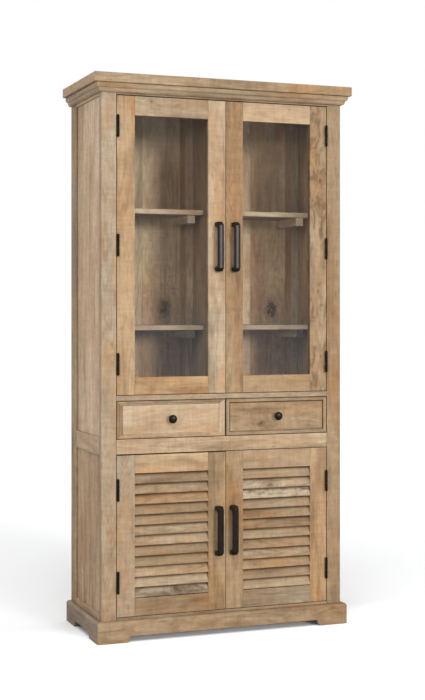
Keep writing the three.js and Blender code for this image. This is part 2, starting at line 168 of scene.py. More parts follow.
def wood(name, pale, warm, rose, dark, roughness):
    """Oiled mango wood. The run of the grain and the place in it, the tint, the knot, the stain and the
    strength of the figure are each board's own, and come from its faces."""
    material, n = blank(name)
    place = n.new("ShaderNodeTexCoord")
    point = place.outputs["Object"]
    along = n.attribute("along")
    shift = n.attribute("shift")

    run = n.vector("DOT_PRODUCT", point, along, output="Value")
    length_part = n.vector("SCALE", along, run)
    across = n.vector("ADD", n.vector("SUBTRACT", point, length_part), shift)

    def stretched(ratio):
        return n.vector("ADD", across, n.vector("SCALE", length_part, ratio))

    # How near the board's knot is, as a multiple of its size.
    reach = n.vector("SUBTRACT", point, n.attribute("knot"))
    reach_run = n.vector("DOT_PRODUCT", reach, along, output="Value")
    reach = n.vector("SUBTRACT", reach, n.vector("SCALE", along, n.math("MULTIPLY", reach_run, 0.45)))
    wobble = n.math("MULTIPLY_ADD", n.noise(point, 45.0, 2.0), 0.9, 0.55)
    near = n.vector("LENGTH", reach, output="Value")
    near = n.math("DIVIDE", n.math("MULTIPLY", near, wobble), n.attribute("knot_size", "Fac"))
    crumb = n.spread(n.noise(point, 190.0, 1.0), 0.40, 0.50, 0.45, 1.0)
    knot_core = n.math("MULTIPLY", n.spread(near, 1.15, 0.55), crumb)
    knot_field = n.spread(near, 4.5, 0.6)

    figure = n.attribute("figure", "Fac")

    def factor(value, low, high, share):
        return n.math("MULTIPLY", n.spread(value, low, high), n.math("MULTIPLY", figure, share))

    body = n.noise(stretched(0.22), 8.0, 3.0, 0.6, 0.3)
    patch = n.noise(stretched(0.28), 10.0, 2.5, 0.55, 0.4)
    grey = n.noise(stretched(0.16), 15.0, 3.0, 0.6)
    swirl = n.noise(stretched(0.10), 11.0, 1.8, 0.5, 0.35)
    swirl = n.math("MULTIPLY_ADD", knot_field, 0.16, swirl)
    ring_line = n.spread(n.math("SINE", n.math("MULTIPLY", swirl, 120.0)), 0.0, 1.0)
    ring_line = n.math("MULTIPLY", ring_line, n.spread(n.noise(stretched(0.25), 12.0, 2.0), 0.36, 0.62))
    streak = n.noise(stretched(0.045), 48.0, 4.0, 0.65)
    mottle = n.noise(stretched(0.38), 52.0, 4.0, 0.7, 0.2)
    fleck = n.noise(stretched(0.2), 130.0, 3.0, 0.7)
    saw = n.vector("ADD", n.vector("SCALE", across, 0.12), length_part)
    saw = n.noise(saw, 85.0, 3.0, 0.7)
    fibre = n.noise(stretched(0.04), 420.0, 3.0, 0.65)
    pore = n.spread(n.noise(stretched(0.02), 1400.0, 1.0), 0.60, 0.74)

    colour = n.mix(n.spread(body, 0.40, 0.62), pale, warm)
    colour = n.mix(factor(patch, 0.52, 0.66, 0.75), colour, rose)
    colour = n.mix(factor(grey, 0.50, 0.72, 0.45), colour, dark)
    colour = n.mix(factor(streak, 0.52, 0.74, 0.42), colour, dark)
    colour = n.mix(factor(fleck, 0.56, 0.74, 0.40), colour, dark)
    colour = n.mix(n.math("MULTIPLY", ring_line, n.math("MULTIPLY", figure, 0.26)), colour, dark)
    colour = n.mix(n.math("MULTIPLY", pore, 0.25), colour, dark)
    blot = n.spread(n.noise(stretched(0.42), 34.0, 5.0, 0.7, 0.6), 0.47, 0.62)
    colour = n.mix(n.math("MULTIPLY", blot, n.attribute("stain", "Fac")), colour, dark)
    knot_ring = n.spread(n.math("SINE", n.math("MULTIPLY", near, 7.0)), 0.0, 1.0)
    knot_ring = n.math("MULTIPLY", knot_ring, knot_field)
    colour = n.mix(n.math("MULTIPLY", knot_ring, 0.32), colour, dark)
    colour = n.mix(n.math("MULTIPLY", knot_field, 0.25), colour, dark)
    colour = n.mix(n.math("MULTIPLY", knot_core, 0.88), colour, linear(68, 40, 30))

    facing = n.vector("DOT_PRODUCT", place.outputs["Normal"], along, output="Value")
    end_grain = n.spread(n.math("ABSOLUTE", facing), 0.7, 0.97, 1.0, 0.72)
    value = n.math("MULTIPLY", end_grain, n.math("MULTIPLY_ADD", fibre, 0.24, 0.88))
    value = n.math("MULTIPLY", value, n.math("MULTIPLY_ADD", mottle, 0.70, 0.65))
    value = n.math("MULTIPLY", value, n.math("MULTIPLY_ADD", saw, 0.50, 0.75))
    colour = n.vector("SCALE", colour, value)
    colour = n.vector("MULTIPLY", colour, n.attribute("tint"))

    height = n.math("MULTIPLY_ADD", pore, -0.8, fibre)
    height = n.math("MULTIPLY_ADD", ring_line, -0.35, height)
    height = n.math("MULTIPLY_ADD", saw, 0.5, height)
    bump = n.new("ShaderNodeBump", {"Strength": 0.35, "Distance": 0.00035, "Height": height})
    gloss = n.math("MULTIPLY_ADD", n.noise(stretched(0.1), 60.0, 2.0), 0.16, roughness)
    shader = n.new(
        "ShaderNodeBsdfPrincipled",
        {
            "Base Color": colour,
            "Roughness": n.math("MULTIPLY_ADD", pore, 0.12, gloss),
            "Specular IOR Level": 0.32,
            "Normal": bump.outputs[0],
        },
    )
    n.surface(shader)
    return material


def iron(name):
    """Black lacquered iron, lightly uneven."""
    material, n = blank(name)
    point = n.new("ShaderNodeTexCoord").outputs["Object"]
    broad = n.noise(point, 60.0, 3.0, 0.6)
    fine = n.noise(point, 900.0, 2.0, 0.6)
    colour = n.mix(n.spread(broad, 0.35, 0.7), linear(13, 9, 7), linear(22, 17, 14))
    colour = n.mix(n.math("MULTIPLY", n.spread(fine, 0.5, 0.75), 0.5), colour, linear(8, 6, 5))
    height = n.math("MULTIPLY_ADD", fine, 0.4, broad)
    bump = n.new("ShaderNodeBump", {"Strength": 0.15, "Distance": 0.0005, "Height": height})
    shader = n.new(
        "ShaderNodeBsdfPrincipled",
        {
            "Base Color": colour,
            "Specular IOR Level": 0.12,
            "Roughness": n.math("MULTIPLY_ADD", fine, 0.12, 0.26),
            "Normal": bump.outputs[0],
        },
    )
    n.surface(shader)
    return material


def clear_glass(name):
    """Thin window glass: nearly all see-through, with a faint gloss, a trace of dust and a faint blue-grey
    layer over the lower part of the panes.
    """
    material, n = blank(name)
    point = n.new("ShaderNodeTexCoord").outputs["Object"]
    dust = n.spread(n.noise(point, 18.0, 4.0, 0.6), 0.45, 0.8, 0.005, 0.015)
    height = n.new("ShaderNodeSeparateXYZ", {"Vector": point}).outputs["Z"]
    # A faint blue-grey layer: full below the first height, and gone above the second.
    blue_grey_full, blue_grey_gone = 1.0, 1.3
    low_blue_grey = n.spread(height, blue_grey_full, blue_grey_gone, 0.014, 0.0)
    gloss = n.new("ShaderNodeBsdfGlossy", {"Color": (1, 1, 1, 1), "Roughness": 0.02})
    clear = n.new("ShaderNodeBsdfTransparent", {"Color": (0.97, 0.98, 0.975, 1)})
    dust_and_blue_grey = n.new("ShaderNodeBsdfDiffuse", {"Color": (0.36, 0.43, 0.50, 1), "Roughness": 0.5})
    fresnel = n.new("ShaderNodeFresnel", {"IOR": 1.12})
    pane = n.new("ShaderNodeMixShader", {0: fresnel.outputs[0], 1: clear.outputs[0], 2: gloss.outputs[0]})
    dust_and_blue_grey_amount = n.math("ADD", dust, low_blue_grey)
    n.surface(n.new("ShaderNodeMixShader", {0: dust_and_blue_grey_amount, 1: pane.outputs[0], 2: dust_and_blue_grey.outputs[0]}))
    return material


# The pale, warm, rose and dark tone of each wood, in sRGB, and its roughness.
WOOD_TONES = {
    "front_wood": ((130, 113, 91), (122, 99, 74), (127, 97, 66), (68, 51, 34), 0.46),
    # The side wood is paler than the front wood; part of that is painted light, for the light that falls on
    # the sides.
    "side_wood": ((165, 143, 118), (151, 125, 97), (152, 120, 92), (92, 70, 50), 0.5),
    "inner_wood": ((196, 168, 134), (178, 142, 108), (178, 137, 105), (109, 80, 56), 0.55),
}
WOODS = {
    name: wood(name, *(linear(*tone) for tone in tones), roughness)
    for name, (*tones, roughness) in WOOD_TONES.items()
}
BLACK = iron("black_metal")
GLASS = clear_glass("clear_glass")


# ---------------------------------------------------------------- boards
# How light each board is, and how warm, beside the common tone of its wood; the rest have 1 and 0. Slats are
# numbered from the lowest, and the boards of the back panel from the left.
TONES = {
    "high_left_shelf": (0.36, -0.04),
    "high_right_shelf": (0.375, -0.04),
    "low_left_shelf": (0.345, -0.08),
    "low_right_shelf": (0.36, -0.08),
    "high_left_shelf_bearer": (0.44, -0.03),
    "high_left_shelf_bearer_end": (0.45, -0.03),
    "high_right_shelf_bearer": (0.48, -0.03),
    "high_right_shelf_bearer_end": (0.56, -0.03),
    # Painted shade: the low bearers are dark, and their front ends nearly black, for the shade under the low
    # shelves.
    "low_left_shelf_bearer": (0.30, 0.0),
    "low_left_shelf_bearer_end": (0.065, 0.0),
    "low_right_shelf_bearer": (0.30, 0.0),
    "low_right_shelf_bearer_end": (0.065, 0.0),
    # Painted shade: the partition's wall is darker for the shadow that the door's stile casts on it.
    "upper_partition": (0.63, 0.0),
    "upper_partition_post": (0.78, 0.02),
    # The sides of the top board and the crown are lighter than their fronts: painted light, for the light on
    # the sides.
    "top_board": (0.96, 0.04),
    "top_board_side": (1.30, 0.03),
    "crown_moulding": (1.02, 0.04),
    "crown_moulding_side": (1.25, 0.03),
    "plinth_skirt": (0.80, 0.08),
    "plinth_skirt_side": (0.82, -0.02),
    "front_left_post": (1.06, -0.05),
    "front_right_post": (0.79, 0.075),
    "rear_left_post": (0.585, 0.06),
    "rear_right_post": (0.90, 0.0),
    # Painted light: the inner side of the rear right post is lighter, for the light that falls on it.
    "rear_right_post_inside": (1.25, 0.0),
    "left_middle_side_rail": (0.86, 0.02),
    "left_bottom_side_rail": (0.86, 0.03),
    "right_middle_side_rail": (0.86, 0.02),
    "right_bottom_side_rail": (0.86, 0.03),
    "top_face_rail": (0.95, 0.0),
    "waist_face_rail": (1.18, -0.09),
    "drawer_face_rail": (1.31, -0.05),
    "bottom_face_rail": (0.85, 0.0),
    "upper_side_panel": (1.03, 0.02),
    "lower_side_panel": (0.70, 0.10),
    # The back boards' tones are partly painted light and shade, set to how light each part of the glazed bays
    # is.
    "back_panel_0": (0.64, -0.04),
    "back_panel_1": (0.80, -0.01),
    "back_panel_2": (1.19, -0.07),
    "back_panel_3": (1.0, 0.0),
    "upper_left_door_left_stile": (1.01, 0.09),
    "upper_left_door_right_stile": (1.26, -0.04),
    "upper_left_door_bottom_rail": (1.06, 0.14),
    "upper_left_door_top_rail": (1.0, -0.01),
    "upper_right_door_left_stile": (0.87, 0.08),
    "upper_right_door_right_stile": (0.98, 0.01),
    "upper_right_door_bottom_rail": (0.90, 0.075),
    "upper_right_door_top_rail": (1.54, -0.07),
    "lower_left_door_left_stile": (1.09, -0.08),
    "lower_left_door_right_stile": (0.82, 0.11),
    "lower_left_door_bottom_rail": (0.80, 0.10),
    "lower_left_door_top_rail": (1.24, 0.06),
    "lower_right_door_left_stile": (0.78, 0.11),
    "lower_right_door_right_stile": (1.04, 0.09),
    "lower_right_door_bottom_rail": (0.84, -0.02),
    "lower_right_door_top_rail": (1.06, -0.05),
    # The left, top, right and bottom of both drawer fronts' borders carry painted light and shade: each side
    # is lighter or darker by how the light falls on it.
    "left_drawer_front_panel": (1.30, -0.02),
    "left_drawer_front_left": (0.92, 0.0),
    "left_drawer_front_top": (0.92, 0.0),
    "left_drawer_front_right": (1.2, 0.0),
    "left_drawer_front_bottom": (1.1, 0.0),
    "right_drawer_front_panel": (0.87, 0.065),
    "right_drawer_front_left": (0.95, -0.03),
    "right_drawer_front_top": (0.85, 0.02),
    "right_drawer_front_right": (1.0, 0.02),
    "right_drawer_front_bottom": (0.9, 0.0),
    "lower_left_louvre_11": (0.78, 0.0),
    "lower_left_louvre_10": (1.06, -0.04),
    "lower_left_louvre_9": (0.92, 0.09),
    "lower_left_louvre_8": (0.80, 0.0),
    "lower_left_louvre_7": (0.90, 0.03),
    "lower_left_louvre_6": (0.94, 0.0),
    "lower_left_louvre_5": (1.04, 0.0),
    "lower_left_louvre_4": (0.80, 0.02),
    "lower_left_louvre_3": (0.76, 0.07),
    "lower_left_louvre_2": (1.0, 0.03),
    "lower_left_louvre_1": (1.02, 0.0),
    "lower_left_louvre_0": (0.92, -0.05),
    "lower_right_louvre_11": (0.96, 0.02),
    "lower_right_louvre_10": (1.18, -0.05),
    "lower_right_louvre_9": (1.20, -0.08),
    "lower_right_louvre_8": (0.92, -0.03),
    "lower_right_louvre_7": (0.74, 0.08),
    "lower_right_louvre_6": (0.80, 0.05),
    "lower_right_louvre_5": (0.88, 0.02),
    "lower_right_louvre_4": (0.90, 0.0),
    "lower_right_louvre_3": (1.0, 0.0),
    "lower_right_louvre_2": (0.96, 0.02),
    "lower_right_louvre_1": (0.94, -0.03),
    "lower_right_louvre_0": (0.96, 0.02),
}
# How strong a board's figure is. The rest have 1.
FIGURES = {
    "left_drawer_front_panel": 0.45,
    "right_drawer_front_panel": 0.75,
    "lower_right_door_top_rail": 0.7,
    "upper_right_door_top_rail": 0.55,
}
# How much dark blotch a board has. The rest have a trace.
TRACE = 0.08
STAINS = {
    "upper_right_door_right_stile": 0.62,
    "upper_right_door_left_stile": 0.2,
    "plinth_skirt": 0.3,
    "front_right_post": 0.12,
    "lower_left_louvre_0": 0.6,
    "lower_left_louvre_10": 0.3,
    "lower_right_louvre_9": 0.75,
    "lower_right_louvre_10": 0.35,
    "right_drawer_front_panel": 0.25,
    "waist_face_rail": 0.25,
}
# Where a board has a knot, in metres, and its size. The rest have theirs far outside the cabinet.
KNOTS = {
    "upper_left_door_top_rail": ((-0.279, FRONT, 1.910), 3.5 * MM),
    "upper_right_door_right_stile": ((0.381, FRONT, 1.650), 6 * MM),
    "right_drawer_front_panel": ((0.146, FRONT, 0.754), 10 * MM),
    "lower_left_louvre_0": ((-0.180, FRONT, 0.172), 15 * MM),
    "lower_left_louvre_6": ((-0.238, FRONT, 0.389), 3 * MM),
    "lower_right_louvre_10": ((0.179, FRONT, 0.530), 8 * MM),
    "lower_right_louvre_2": ((0.120, FRONT, 0.240), 6 * MM),
    "back_panel_1": ((-0.094, BACK, 1.172), 25 * MM),
    "back_panel_3": ((0.350, BACK, 1.172), 25 * MM),
}
NO_KNOT = ((50, 50, 50), 10 * MM)


def board(key, along, tone=None, vary=0.0):
    """What the wood material reads for one board. Its place in the grain is drawn from its name. vary is
    how far its lightness may stray. tone names the entry of TONES that it shares, if it has none itself."""
    draw = random.Random(key)
    shift = tuple(draw.uniform(-40, 40) for _ in range(3))
    light = 1 + draw.uniform(-vary, vary)
    warm = draw.uniform(-0.4 * vary, 0.4 * vary)
    if key in TONES:
        light, warm = TONES[key]
    elif tone in TONES:
        light, warm = light * TONES[tone][0], warm + TONES[tone][1]
    knot, knot_size = KNOTS.get(key, NO_KNOT)
    return {
        "along": tuple(along),
        "shift": shift,
        "tint": (light * (1 + warm), light, light * (1 - 1.4 * warm)),
        "knot": knot,
        "knot_size": knot_size,
        "stain": STAINS.get(key, TRACE),
        "figure": FIGURES.get(key, 1.0),
    }


# No painted shade: red, green and blue stay as they are.
NO_PAINTED_SHADE = (1, 1, 1)


def darker(look, shade):
    """The same board with painted shade on it. shade multiplies its red, green and blue."""
    return dict(look, tint=tuple(v * s for v, s in zip(look["tint"], shade)))


def write_looks(mesh, looks):
    """Writes on each face of the mesh the look of its board."""
    for name in ("along", "shift", "tint", "knot"):
        layer = mesh.attributes.new(name, "FLOAT_VECTOR", "FACE")
        layer.data.foreach_set("vector", [v for look in looks for v in look[name]])
    for name in ("knot_size", "stain", "figure"):
        layer = mesh.attributes.new(name, "FLOAT", "FACE")
        layer.data.foreach_set("value", [look[name] for look in looks])


def soften(piece, edge):
    """Rounds the piece's edges a little, and shades it smoothly."""
    piece.data.polygons.foreach_set("use_smooth", [True] * len(piece.data.polygons))
    round_edges = piece.modifiers.new("round_edges", "BEVEL")
    round_edges.width = edge
    round_edges.segments = 2
    round_edges.limit_method = "ANGLE"
    round_edges.angle_limit = math.radians(32)
    normals = piece.modifiers.new("normals", "WEIGHTED_NORMAL")
    normals.keep_sharp = False
    normals.weight = 100


def dress(node, look, edge=1.5 * MM):
    """Finishes a wooden CAD node. look gives the board of a face from its centre and normal, and edge is how
    far the edges are rounded. The triangles of a flat face are joined first."""
    piece = frame["nodes"][node]
    mesh = piece.data
    write_looks(mesh, [look(face.center, face.normal) for face in mesh.polygons])
    for name in ("custom_normal", "sharp_face", "sharp_edge"):
        if name in mesh.attributes:
            mesh.attributes.remove(mesh.attributes[name])
    weld = piece.modifiers.new("weld", "WELD")
    weld.merge_threshold = 0.01 * MM
    flat = piece.modifiers.new("flat", "DECIMATE")
    flat.decimate_type = "DISSOLVE"
    flat.angle_limit = math.radians(0.5)
    soften(piece, edge)
    mesh.materials[0] = WOODS[mesh.materials[0].name]


def new_piece(name, bm, material):
    """An object of the mesh in bm, with its faces turned outwards."""
    bmesh.ops.recalc_face_normals(bm, faces=bm.faces)
    mesh = bpy.data.meshes.new(name)
    bm.to_mesh(mesh)
    bm.free()
    mesh.materials.append(material)
    piece = bpy.data.objects.new(name, mesh)
    bpy.context.collection.objects.link(piece)
    return piece


class Joinery:
    """A mesh put together from boards. It keeps the look of every face."""

    def __init__(self):
        self.bm = bmesh.new()
        self.looks = []

    def face(self, corners, look):
        self.bm.faces.new(corners)
        self.looks.append(look)

    def prism(self, outline, base, axes, span, look, shaded=None):
        """An outline in the plane of two axes, run from span[0] to span[1] along the third.
        shaded gives another look to the sides it names by number."""
        across, out, along = axes
        vert = self.bm.verts.new
        rings = [[vert(base + across * a + out * b + along * s) for a, b in outline] for s in span]
        count = len(outline)
        for i in range(count):
            j = (i + 1) % count
            self.face((rings[0][i], rings[0][j], rings[1][j], rings[1][i]), (shaded or {}).get(i, look))
        self.face(rings[0][::-1], look)
        self.face(rings[1], look)

    def loft(self, loops, looks, painted_shade):
        """Rectangles, each (low x, high x, low z, high z, y), joined side to side; both ends are filled.
        looks are for the bottom, right, top and left sides and for the two ends. The last argument gives how
        dark the painted shade is in the steps it names by number; along the bottom, which faces up, it is
        half as dark."""
        *sides, end = looks
        vert = self.bm.verts.new
        rings = [
            [vert((x, y, z)) for x, z in ((x0, z0), (x1, z0), (x1, z1), (x0, z1))]
            for x0, x1, z0, z1, y in loops
        ]
        for step, (one, two) in enumerate(zip(rings, rings[1:])):
            shade = painted_shade.get(step, NO_PAINTED_SHADE)
            faint = tuple((1 + s) / 2 for s in shade)
            for i, look in enumerate(sides):
                j = (i + 1) % 4
                self.face((one[i], one[j], two[j], two[i]), darker(look, shade if i else faint))
        self.face(rings[-1], end)
        self.face(rings[0][::-1], end)

    def finish(self, name, body, node, edge):
        """Makes the object, which stands for a CAD node, with its edges rounded."""
        piece = new_piece(name, self.bm, WOODS["front_wood"])
        write_looks(piece.data, self.looks)
        soften(piece, edge)
        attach(piece, body)
        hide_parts(node)


# ---------------------------------------------------------------- carcass
# How wide the strips along the front and the sides of a moulding are.
MOULDING_DEPTH = 30 * MM
# A face of a shelf further down from its top than this belongs to the bearers.
SHELF_BOARD = 19.5 * MM
# Between these the upper partition has the look of its wall, and beyond them the look of its rear stile.
PARTITION_WALL = (-17 * MM, 23 * MM)


def plain(key, along):
    """One board for every face."""
    look = board(key, along)
    return lambda centre, normal: look


def wrapped(key):
    """A moulding that runs along the front and back along both sides."""
    lo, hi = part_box(key)
    front_board = board(key, X)
    # The side strips share a tone of their own; on the top board and the crown it is painted light.
    ends = {-1: board(key + "_left", Y, key + "_side"), 1: board(key + "_right", Y, key + "_side")}

    def look(centre, normal):
        from_end = min(centre.x - lo.x, hi.x - centre.x)
        from_front = centre.y - lo.y
        near_end = from_end < MOULDING_DEPTH
        on_side = abs(normal.x) > 0.5 if from_front < MOULDING_DEPTH else near_end
        on_side = on_side or (near_end and from_end < from_front)
        return ends[1 if centre.x > 0 else -1] if on_side else front_board

    return look


def staves(key, axis, count, wide=1, tone=None, vary=0.0):
    """Upright boards in count strips along axis 0 (X) or 1 (Y). Each board is as many strips as wide says."""
    lo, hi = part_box(key)
    pitch = (hi[axis] - lo[axis]) / count
    looks = [board(f"{key}_{i // wide}", Z, tone, vary) for i in range(count)]

    def look(centre, normal):
        return looks[min(count - 1, max(0, int((centre[axis] - lo[axis]) / pitch)))]

    return look


def walls(key):
    """A box of four walls and a floor: the short walls run across, the rest front to back."""
    long_wall = board(key + "_long", Y)
    short_wall = board(key + "_short", X)
    return lambda centre, normal: short_wall if abs(normal.y) > 0.5 else long_wall


def on_bearers(key):
    """A shelf with bearers under it, which run front to back."""
    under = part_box(key)[1].z - SHELF_BOARD
    shelf = board(key, X)
    bearer, end = board(key + "_bearer", Y), board(key + "_bearer_end", Y)
    return lambda centre, normal: shelf if centre.z > under else end if normal.y < -0.9 else bearer


def upright(key):
    """A post. A face towards the middle of the cabinet may have a tone of its own: painted light, lighter for
    the light that falls on it.
    """
    outer = board(key, Z)
    inner = board(key + "_inside", Z) if key + "_inside" in TONES else outer
    return lambda centre, normal: inner if centre.x * normal.x < 0 and abs(normal.x) > 0.9 else outer


def walled(key):
    """A wall with a wider stile at its rear."""
    left, right = PARTITION_WALL
    wall, stile = board(key, Z), board(key + "_post", Z)
    return lambda centre, normal: wall if left < centre.x < right else stile


dress("top_board", wrapped("top_board"), 2.2 * MM)
dress("crown_moulding", wrapped("crown_moulding"), 0.7 * MM)
dress("plinth_skirt", wrapped("plinth_skirt"), 1.2 * MM)
for side in SIDES:
    for place in ("front", "rear"):
        dress(f"{place}_{side}_post", upright(f"{place}_{side}_post"))
    for level in ("top", "middle", "bottom"):
        dress(f"{side}_{level}_side_rail", plain(f"{side}_{level}_side_rail", Y))
    for level in LEVELS:
        name = f"{level}_{side}_side_panel"
        dress(name, staves(name, axis=1, count=4, tone=f"{level}_side_panel", vary=0.08), 0.6 * MM)
    for level in ("high", "low"):
        dress(f"{level}_{side}_shelf", on_bearers(f"{level}_{side}_shelf"))
    dress(f"{side}_drawer_box", walls(f"{side}_drawer_box"))
for level in ("top", "waist", "drawer", "bottom"):
    dress(f"{level}_face_rail", plain(f"{level}_face_rail", X))
dress("back_panel", staves("back_panel", axis=0, count=11, wide=3), 0.6 * MM)
for name in ("upper_floor", "drawer_floor", "bottom_board"):
    dress(name, plain(name, X))
dress("upper_partition", walled("upper_partition"))
dress("drawer_divider", plain("drawer_divider", Y))
dress("cupboard_shelf", on_bearers("cupboard_shelf"))


# ---------------------------------------------------------------- doors
STILE = 66 * MM
# The heights of the bottom and top rails.
RAILS = {"upper": (62 * MM, 69 * MM), "lower": (62.5 * MM, 67 * MM)}
# Each groove's front and back, from the front of the door, and its depth.
PANE_GROOVE = (9.8 * MM, 14.2 * MM, 8.4 * MM)
SLAT_GROOVE = (5.8 * MM, 16.2 * MM, 8.2 * MM)
# The open line where a rail meets a stile, and how far the doors' faces lie behind the posts' and rails'.
JOINT = 0.15 * MM
SET_BACK = 0.9 * MM
# How far a door's sides stand out past its CAD box, and how far its bottom and top stay within it.
SPREAD_HINGE, SPREAD_MEETING = 0.3 * MM, 0.8 * MM
EASE_ENDS = {"lower_left": (0, 2.2 * MM), "upper_left": (0, 0.8 * MM), "upper_right": (0, 0.8 * MM)}


def grooved(width, depth, groove, inner):
    """A member's outline, width across and depth back. Its inner edge, high or low, has the groove."""
    front, back, deep = groove
    if inner == "high":
        return [
            (0, SET_BACK), (width, SET_BACK), (width, front), (width - deep, front),
            (width - deep, back), (width, back), (width, depth), (0, depth),
        ]
    return [
        (0, SET_BACK), (width, SET_BACK), (width, depth), (0, depth),
        (0, back), (deep, back), (deep, front), (0, front),
    ]


def build_door(level, side):
    """A frame of two stiles and two rails, grooved for its glass or its slats."""
    name = f"{level}_{side}_door"
    lo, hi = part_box(name + "_frame")
    ease_low, ease_high = EASE_ENDS.get(f"{level}_{side}", (0, 0))
    spreads = SPREAD_HINGE, SPREAD_MEETING
    spread_left, spread_right = spreads if side == "left" else reversed(spreads)
    lo, hi = lo - Vector((spread_left, 0, -ease_low)), hi + Vector((spread_right, 0, -ease_high))
    depth = hi.y - lo.y
    members = Joinery()

    groove = PANE_GROOVE if level == "upper" else SLAT_GROOVE
    left_stile, right_stile = STILE + spread_left, STILE + spread_right
    stiles = (("left", lo.x, left_stile, "high"), ("right", hi.x - right_stile, right_stile, "low"))
    for place, x, width, inner in stiles:
        outline = grooved(width, depth, groove, inner)
        look = board(f"{name}_{place}_stile", Z)
        members.prism(outline, Vector((x, lo.y, 0)), (X, Y, Z), (lo.z, hi.z), look)

    low_rail, high_rail = RAILS[level][0] - ease_low, RAILS[level][1] - ease_high
    rails = (("bottom", lo.z, low_rail, "high"), ("top", hi.z - high_rail, high_rail, "low"))
    span = (lo.x + left_stile + JOINT, hi.x - right_stile - JOINT)
    for place, z, height, inner in rails:
        if level == "upper":
            outline = grooved(height, depth, groove, inner)
        else:
            outline = [(0, SET_BACK), (height, SET_BACK), (height, depth), (0, depth)]
        look = board(f"{name}_{place}_rail", X)
        members.prism(outline, Vector((0, lo.y, z)), (Z, Y, X), span, look)
    members.finish(name + "_members", name, name + "_frame", 1.1 * MM)


SLATS = 12
SLAT_WIDTH, SLAT_THICKNESS, SLAT_TILT = 38 * MM, 7 * MM, 24
SLAT_EDGE, EDGE_STEPS = 2.6 * MM, 4
# How deep the middle of the slats lies behind the door's front, and how far each may lean from the tilt.
SLAT_MIDDLE, SLAT_STRAY = 11 * MM, 0.7
# The strips in the stiles' grooves, and how far the slats' ends run into them.
STRIP_WIDTH, STRIP_FRONT, STRIP_DEPTH, STRIP_HOLD = 7.7 * MM, 6.3 * MM, 9.4 * MM, 0.3 * MM
# Painted shade where each slat runs in under the one above: how far down from its top it reaches, and how
# dark.
SLAT_PAINTED_SHADE = ((6.3 * MM, (0.48, 0.42, 0.33)), (9.0 * MM, (0.79, 0.75, 0.66)))


def rounded_outline(width, thickness, radius):
    """A bar's section with rounded corners, centred."""
    outline = []
    for a, b, start in ((1, 1, 0), (-1, 1, 90), (-1, -1, 180), (1, -1, 270)):
        for i in range(EDGE_STEPS + 1):
            angle = math.radians(start + 90 * i / EDGE_STEPS)
            across = a * (width / 2 - radius) + radius * math.cos(angle)
            outline.append((across, b * (thickness / 2 - radius) + radius * math.sin(angle)))
    return outline


def build_louvre(side):
    """Slats between the stiles, each leaning back at its top, with a strip in the groove at each end."""
    name = f"lower_{side}_louvre"
    lo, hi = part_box(name)
    draw = random.Random(name)
    tilt = math.radians(SLAT_TILT)
    rise = SLAT_WIDTH * math.cos(tilt) + SLAT_THICKNESS * math.sin(tilt)
    pitch = (hi.z - lo.z - rise) / (SLATS - 1)
    slats = Joinery()

    # The outline starts at its upper front corner. Two points are added below that corner, on the front: the
    # sides as far as the first have dark painted shade, and the side between the two has faint painted shade,
    # for the shade under the slat above.
    outline = rounded_outline(SLAT_WIDTH, SLAT_THICKNESS, SLAT_EDGE)
    corner = EDGE_STEPS + 1
    outline[corner:corner] = [(SLAT_WIDTH / 2 - down, SLAT_THICKNESS / 2) for down, shade in SLAT_PAINTED_SHADE]
    span = (lo.x + STRIP_WIDTH - STRIP_HOLD, hi.x - STRIP_WIDTH + STRIP_HOLD)
    for i in range(SLATS):
        lean = math.radians(SLAT_TILT + draw.uniform(-SLAT_STRAY, SLAT_STRAY))
        up = Vector((0, math.sin(lean), math.cos(lean)))
        out = Vector((0, -math.cos(lean), math.sin(lean)))
        centre = Vector((0, FRONT + SLAT_MIDDLE, lo.z + rise / 2 + pitch * i))
        look = board(f"{name}_{i}", X, vary=0.12)
        dark, faint = (darker(look, shade) for down, shade in SLAT_PAINTED_SHADE)
        painted_shade = {**dict.fromkeys(range(corner), dark), corner: faint}
        slats.prism(outline, centre, (up, out, X), span, look, painted_shade)

    outline = [(0, 0), (STRIP_WIDTH, 0), (STRIP_WIDTH, STRIP_DEPTH), (0, STRIP_DEPTH)]
    for place, x in (("left", lo.x), ("right", hi.x - STRIP_WIDTH)):
        base = Vector((x, FRONT + STRIP_FRONT, 0))
        slats.prism(outline, base, (X, Y, Z), (lo.z, hi.z), board(f"{name}_{place}_strip", Z))
    slats.finish(name + "_slats", f"lower_{side}_door", name, 0.4 * MM)


for side in SIDES:
    for level in LEVELS:
        build_door(level, side)
    build_louvre(side)
    frame["nodes"][f"upper_{side}_glass"].data.materials[0] = GLASS


# ---------------------------------------------------------------- drawer fronts
# The border of each drawer front: its width at the sides, its width along the top and bottom, its steps from
# the edge in, each (share of that width, depth from the front), and the painted shade in some of the steps
# from one to the next, numbered from 0 at the edge: shade painted where the border falls to the panel. All
# sizes are in millimetres.
BORDERS = {
    "left": (
        24, 16,
        (
            (0.02, 1.9), (0.04, 1.2), (0.08, 0.9), (0.40, 0.9), (0.46, 1.5),
            (0.52, 2.1), (0.90, 4.4), (0.96, 5.6), (1.0, 5.0),
        ),
        {4: (0.90, 0.87, 0.82), 5: (0.95, 0.93, 0.90), 7: (0.80, 0.76, 0.68)},
    ),
    "right": (
        15.5, 15.5,
        (
            (0.02, 1.9), (0.05, 1.2), (0.1, 0.9), (0.70, 0.9), (0.76, 1.3),
            (0.86, 4.8), (0.94, 6.0), (1.02, 5.2),
        ),
        {4: (0.62, 0.55, 0.45), 5: (0.40, 0.34, 0.26), 6: (0.40, 0.34, 0.26), 7: (0.50, 0.44, 0.35)},
    ),
}
# The back of a drawer front, as such a step, and how far the fronts stand out towards each other.
BACK_STEP = (0.02, 20)
SPREAD_DRAWER = 1 * MM


